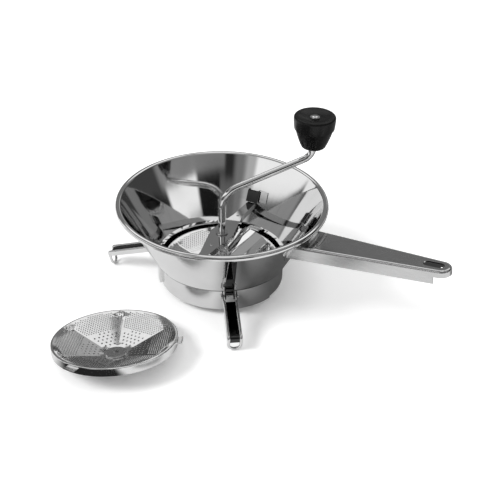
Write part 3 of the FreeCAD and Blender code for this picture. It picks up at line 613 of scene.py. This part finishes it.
def dish_height(x, y):
    """The dish: a cone with its sectors pressed flat between the creases, except near the hub and the rim."""
    radius = math.hypot(x, y)
    if radius < DISC_FLOOR_RADIUS:
        return -DISC_FLOOR_DEPTH
    sector = 360.0 / SECTORS
    off_middle = (math.degrees(math.atan2(y, x)) - STRIP_AT) % sector - sector / 2
    flat = radius * math.cos(math.radians(off_middle))
    from_hub = (radius - DISC_FLOOR_RADIUS) / FLAT_FROM_HUB
    from_rim = (DISC_DISH_EDGE - radius) / FLAT_FROM_RIM
    share = max(0.0, min(1.0, from_hub, from_rim))
    smooth_share = share ** 2 * (3 - 2 * share)
    run = radius + (flat - radius) * smooth_share
    return -DISC_FLOOR_DEPTH * (DISC_DISH_EDGE - run) / (DISC_DISH_EDGE - DISC_FLOOR_RADIUS)


def creases():
    """Lines of points along the plain strips between the sectors."""
    low = DISC_FLOOR_RADIUS + CREASE_ENDS[0]
    high = DISC_DISH_EDGE - CREASE_ENDS[1]
    reaches = [low + (high - low) * i / CREASE_STEPS for i in range(CREASE_STEPS + 1)]
    lines = []
    for k in range(SECTORS):
        turn = math.radians(STRIP_AT + 360.0 / SECTORS * k)
        lines.append([(reach * math.cos(turn), reach * math.sin(turn)) for reach in reaches])
    return lines


def sieve_sheet():
    """The dished sheet: triangles between the holes, lifted onto the dish and given its thickness."""
    rings = [circle(DISC_DISH_EDGE, DISC_CORNERS), circle(DISC_FLOOR_RADIUS, FLOOR_CORNERS)]
    holes = [circle(HUB_NECK_RADIUS, HUB_CORNERS)]
    holes += field_holes(FINE_HOLE, FINE_PITCH, FINE_FIELD, FINE_STRIP, FINE_CORNERS)
    holes += field_holes(COARSE_HOLE, COARSE_PITCH, COARSE_FIELD, COARSE_STRIP, COARSE_CORNERS)
    plan = []
    edges = []
    owner = []
    for index, loop in enumerate(rings + holes):
        first = len(plan)
        plan += [Vector(point) for point in loop]
        owner += [index] * len(loop)
        edges += [(first + i, first + (i + 1) % len(loop)) for i in range(len(loop))]
    for line in creases():
        first = len(plan)
        plan += [Vector(point) for point in line]
        owner += [1] * len(line)
        edges += [(first + i, first + i + 1) for i in range(len(line) - 1)]
    spots, _, triangles, origins, _, _ = delaunay_2d_cdt(plan, edges, [], 0, PLAN_TOLERANCE)
    loop_of = [owner[origin[0]] for origin in origins]
    new_index = {origin: i for i, group in enumerate(origins) for origin in group}
    size = len(spots)
    points = [(spot.x, spot.y, dish_height(spot.x, spot.y)) for spot in spots]
    points += [(x, y, z - DISC_SHEET) for x, y, z in points]
    faces = []
    # A triangle with all its corners on one hole's edge would close that hole
    for triangle in triangles:
        loops = {loop_of[i] for i in triangle}
        if len(loops) > 1 or min(loops) < len(rings):
            faces.append(list(triangle))
            faces.append([size + i for i in triangle][::-1])
    # Walls stand in the holes and round the dish's outer edge, and not under the other lines
    for start, end in edges:
        i = new_index[start]
        j = new_index[end]
        if owner[start] >= len(rings):
            faces.append([i, j, size + j, size + i])
        elif owner[start] == 0:
            faces.append([j, i, size + i, size + j])
    return points, faces


def disc_shape():
    wall = DISC_RADIUS - DISC_SHEET
    rim = [
        (DISC_DISH_EDGE, -DISC_SHEET),
        (wall, -DISC_SHEET - FLANGE_SLOPE),
        (wall, -DISC_FLANGE),
        (DISC_RADIUS, -DISC_FLANGE),
    ]
    rim += arc((DISC_RADIUS - FLANGE_ROUND, -FLANGE_ROUND), FLANGE_ROUND, 0.0, 90.0, FLANGE_STEPS)
    rim += [(DISC_DISH_EDGE, 0.0)]
    shapes = [sieve_sheet(), spun(rim, DISC_CORNERS)]
    lug_top = -LUG_LEVEL * DISC_FLANGE
    lug_bottom = lug_top - LUG_SHEETS * DISC_SHEET
    bevel_in, bevel_up = LUG_BEVEL
    lug = [
        (wall, lug_bottom),
        (DISC_LUG_REACH - bevel_in, lug_bottom),
        (DISC_LUG_REACH, lug_bottom + bevel_up),
        (DISC_LUG_REACH, lug_top - bevel_up),
        (DISC_LUG_REACH - bevel_in, lug_top),
        (wall, lug_top),
    ]
    for k in range(DISC_LUGS):
        middle = 360.0 / DISC_LUGS * k
        shapes.append(spun(lug, LUG_STEPS, middle - DISC_LUG_WIDTH / 2, middle + DISC_LUG_WIDTH / 2))
    return joined(*shapes)


def add_discs():
    """The fitted disc lies level; the spare one leans on its floor's edge and one point of its flange."""
    disc = disc_shape()
    fitted = Matrix.Translation((0, 0, DISC_RIM_HEIGHT)) @ about_z(DISC_AZIMUTH)
    lean = math.atan2(DISC_FLOOR_DEPTH + DISC_SHEET - DISC_FLANGE, DISC_RADIUS - DISC_FLOOR_RADIUS)
    height = DISC_FLANGE * math.cos(lean) + DISC_RADIUS * math.sin(lean)
    tipped = Matrix.Rotation(lean, 4, "Y") @ about_z(SPARE_AZIMUTH - SPARE_LEAN_AZIMUTH)
    leaning = about_z(SPARE_LEAN_AZIMUTH) @ tipped
    beside = Matrix.Translation((*SPARE_CENTRE, height)) @ leaning
    for name, body, matrix in (("sieve_disc", "bowl", fitted), ("spare_disc", "spare", beside)):
        sheet = placed(disc, matrix)
        add_piece(name + "_sheet", sheet, "sieve", body, [name], DISC_SHARP_ANGLE)


# Spring

def add_spring():
    steps = TURN_STEPS * SPRING_TURNS
    low = SPRING_BOTTOM + WIRE_RADIUS
    rise = SPRING_TOP - SPRING_BOTTOM - 2 * WIRE_RADIUS
    path = []
    for i in range(steps + 1):
        turn = 2 * math.pi * SPRING_TURNS * i / steps
        path.append((SPRING_RADIUS * math.cos(turn), SPRING_RADIUS * math.sin(turn), low + rise * i / steps))
    coil = tube(path, WIRE_RADIUS, WIRE_SIDES)
    spring = add_piece("spring_coil", coil, "wire", "bowl", ["spring"])
    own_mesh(spring)


# Legs: a bent rail round a sunk web, with flat cheeks at the hinge. X runs along the leg and Z up, from the pin

def leg_rail():
    out = [(RAIL_START, RAIL_LEVEL)]
    out += arc((LEG_BEND_AT, RAIL_LEVEL - LEG_BEND), LEG_BEND, 90.0, 0.0, ARC_STEPS)
    side = [(x, -RAIL_AT, z) for x, z in out]
    bow = arc((0.0, LOOP_MIDDLE), RAIL_AT, 180.0, 360.0, LOOP_STEPS)
    loop = [(LEG_BEND_AT + LEG_BEND, y, z) for y, z in bow]
    other = [(x, RAIL_AT, z) for x, z in out[::-1]]
    return tube(side + loop + other, RAIL_RADIUS, RAIL_SIDES)


def leg_cheeks():
    outline = [(-CHEEK_ROUND, 0.0)] + arc((0.0, 0.0), CHEEK_ROUND, 180.0, 270.0, ARC_STEPS)[1:]
    outline += [(CHEEK_END, -CHEEK_DEPTH), (CHEEK_END, RAIL_LEVEL), (RAIL_START, RAIL_LEVEL)]
    outline += CHEEK_HEAD
    low, high = CHEEK
    return joined(prism(outline[::-1], low, high), prism(outline[::-1], -high, -low))


def leg_web():
    x, z = WEB_BEND_AT
    inner = WEB_BEND - WEB_SHEET
    top = [(WEB_START, z + WEB_BEND)] + arc(WEB_BEND_AT, WEB_BEND, 90.0, 0.0, ARC_STEPS)
    foot = [(x + WEB_BEND, WEB_FOOT), (x + inner, WEB_FOOT)]
    under = arc(WEB_BEND_AT, inner, 0.0, 90.0, ARC_STEPS) + [(WEB_START, z + inner)]
    return prism(top + foot + under, -RAIL_AT, RAIL_AT)


def add_legs():
    for name, azimuth in LEGS.items():
        droop = Matrix.Rotation(math.radians(LEG_DROOP), 4, "Y")
        hinge = about_z(azimuth) @ Matrix.Translation((LEG_PIN_RADIUS_AT, 0, LEG_PIN_HEIGHT)) @ droop
        body = "leg_" + name
        rail = placed(joined(leg_rail(), leg_cheeks()), hinge)
        add_piece(body + "_rail", rail, "mirror", body, [body])
        # The web is near-black steel: a painted black reflection
        add_piece(body + "_web", placed(leg_web(), hinge), "painted_reflection", body)


# Stage

def floor_tone(nodes, links):
    """White, with patches of painted shadow that reflections alone see."""
    parts = camera_parts(nodes, links, "Object")
    path = nodes.new("ShaderNodeLightPath")
    tone = FLOOR_TONE
    # Each patch paints shadow on the floor for reflections alone
    for left, right, far, near, painted_reflection in FLOOR_SHADE_PATCHES:
        beside = soft_window(nodes, links, parts["X"], left * MM, right * MM, FLOOR_SHADE_SOFT * MM)
        before = soft_window(nodes, links, parts["Y"], -near * MM, -far * MM, FLOOR_SHADE_SOFT * MM)
        shade_patch = math_node(nodes, links, "MULTIPLY", beside, before)
        shade_patch = math_node(nodes, links, "MULTIPLY", shade_patch, path.outputs["Is Glossy Ray"])
        tone = blended(nodes, links, tone, painted_reflection, shade_patch)
    return tone


def add_floor():
    """A pale floor. The camera sees it lifted to white, except close to what stands on it."""
    reach = FLOOR_REACH
    mesh = bpy.data.meshes.new("floor")
    corners = [(-reach, -reach, 0), (reach, -reach, 0), (reach, reach, 0), (-reach, reach, 0)]
    mesh.from_pydata(corners, [], [(0, 1, 2, 3)])
    floor = bpy.data.objects.new("floor", mesh)
    floor.location.z = -FLOOR_DROP * MM
    bpy.context.scene.collection.objects.link(floor)
    material, nodes, links = new_material("floor_white")
    shader = nodes["Principled BSDF"]
    links.new(floor_tone(nodes, links), shader.inputs["Base Color"])
    shader.inputs["Roughness"].default_value = FLOOR_ROUGHNESS
    shader.inputs["Specular IOR Level"].default_value = 0.0
    glow = nodes.new("ShaderNodeEmission")
    path = nodes.new("ShaderNodeLightPath")
    open_sky = nodes.new("ShaderNodeAmbientOcclusion")
    open_sky.inputs["Distance"].default_value = GLOW_REACH * MM
    seen = math_node(nodes, links, "MULTIPLY", path.outputs["Is Camera Ray"], open_sky.outputs["AO"])
    links.new(math_node(nodes, links, "MULTIPLY", seen, FLOOR_GLOW), glow.inputs["Strength"])
    both = nodes.new("ShaderNodeAddShader")
    links.new(shader.outputs[0], both.inputs[0])
    links.new(glow.outputs[0], both.inputs[1])
    links.new(both.outputs[0], nodes["Material Output"].inputs["Surface"])
    mesh.materials.append(material)


def add_lamp():
    """A soft lamp that lights and shades; reflections see the studio in its place."""
    lamp = bpy.data.objects.new("soft_lamp", bpy.data.lights.new("soft_lamp", "SUN"))
    lamp.data.energy = LAMP_STRENGTH
    lamp.data.angle = math.radians(LAMP_SOFTNESS)
    tilt = math.radians(90.0 - LAMP_ELEVATION)
    lamp.rotation_euler = (tilt, 0.0, math.radians(CAMERA_AZIMUTH + LAMP_TURN))
    lamp.visible_glossy = False
    bpy.context.scene.collection.objects.link(lamp)


def studio_level(nodes, links):
    """Brightness of the studio in each direction, panel over panel."""
    parts = camera_parts(nodes, links, "Generated")
    nearer = math_node(nodes, links, "MULTIPLY", parts["Y"], -1.0)
    turn = math_node(nodes, links, "DEGREES", math_node(nodes, links, "ARCTAN2", parts["X"], nearer))
    angles = {"turn": turn, "away": math_node(nodes, links, "ABSOLUTE", turn)}
    elevation = math_node(nodes, links, "DEGREES", math_node(nodes, links, "ARCSINE", parts["Z"]))
    curve = math_node(nodes, links, "MULTIPLY_ADD", nearer, RISE_SWING, RISE_LEVEL)
    heights = {"elevation": elevation, "rise": math_node(nodes, links, "SUBTRACT", elevation, curve)}
    level = STUDIO_BASE
    for angle, low, high, side_soft, height, bottom, top, edge_soft, brightness in STUDIO:
        across = soft_window(nodes, links, angles[angle], low, high, side_soft)
        upward = soft_window(nodes, links, heights[height], bottom, top, edge_soft)
        mask = math_node(nodes, links, "MULTIPLY", across, upward)
        level = blended(nodes, links, level, brightness, mask)
    return level


def add_world():
    """Plain light on the object, the studio for reflections and white for the camera."""
    world = bpy.data.worlds.new("studio")
    bpy.context.scene.world = world
    world.use_nodes = True
    nodes = world.node_tree.nodes
    links = world.node_tree.links
    path = nodes.new("ShaderNodeLightPath")
    to_white = 1.0 - SKY_STRENGTH
    shown = math_node(nodes, links, "MULTIPLY_ADD", path.outputs["Is Camera Ray"], to_white, SKY_STRENGTH)
    plain = nodes["Background"]
    plain.inputs["Color"].default_value = (1, 1, 1, 1)
    links.new(shown, plain.inputs["Strength"])
    studio = nodes.new("ShaderNodeBackground")
    links.new(studio_level(nodes, links), studio.inputs["Strength"])
    choice = nodes.new("ShaderNodeMixShader")
    links.new(path.outputs["Is Glossy Ray"], choice.inputs[0])
    links.new(plain.outputs[0], choice.inputs[1])
    links.new(studio.outputs[0], choice.inputs[2])
    links.new(choice.outputs[0], nodes["World Output"].inputs["Surface"])


bpy.context.scene.view_settings.view_transform = "Standard"
add_camera()
add_floor()
add_lamp()
add_world()
dress_nodes()
add_discs()
add_spring()
add_legs()
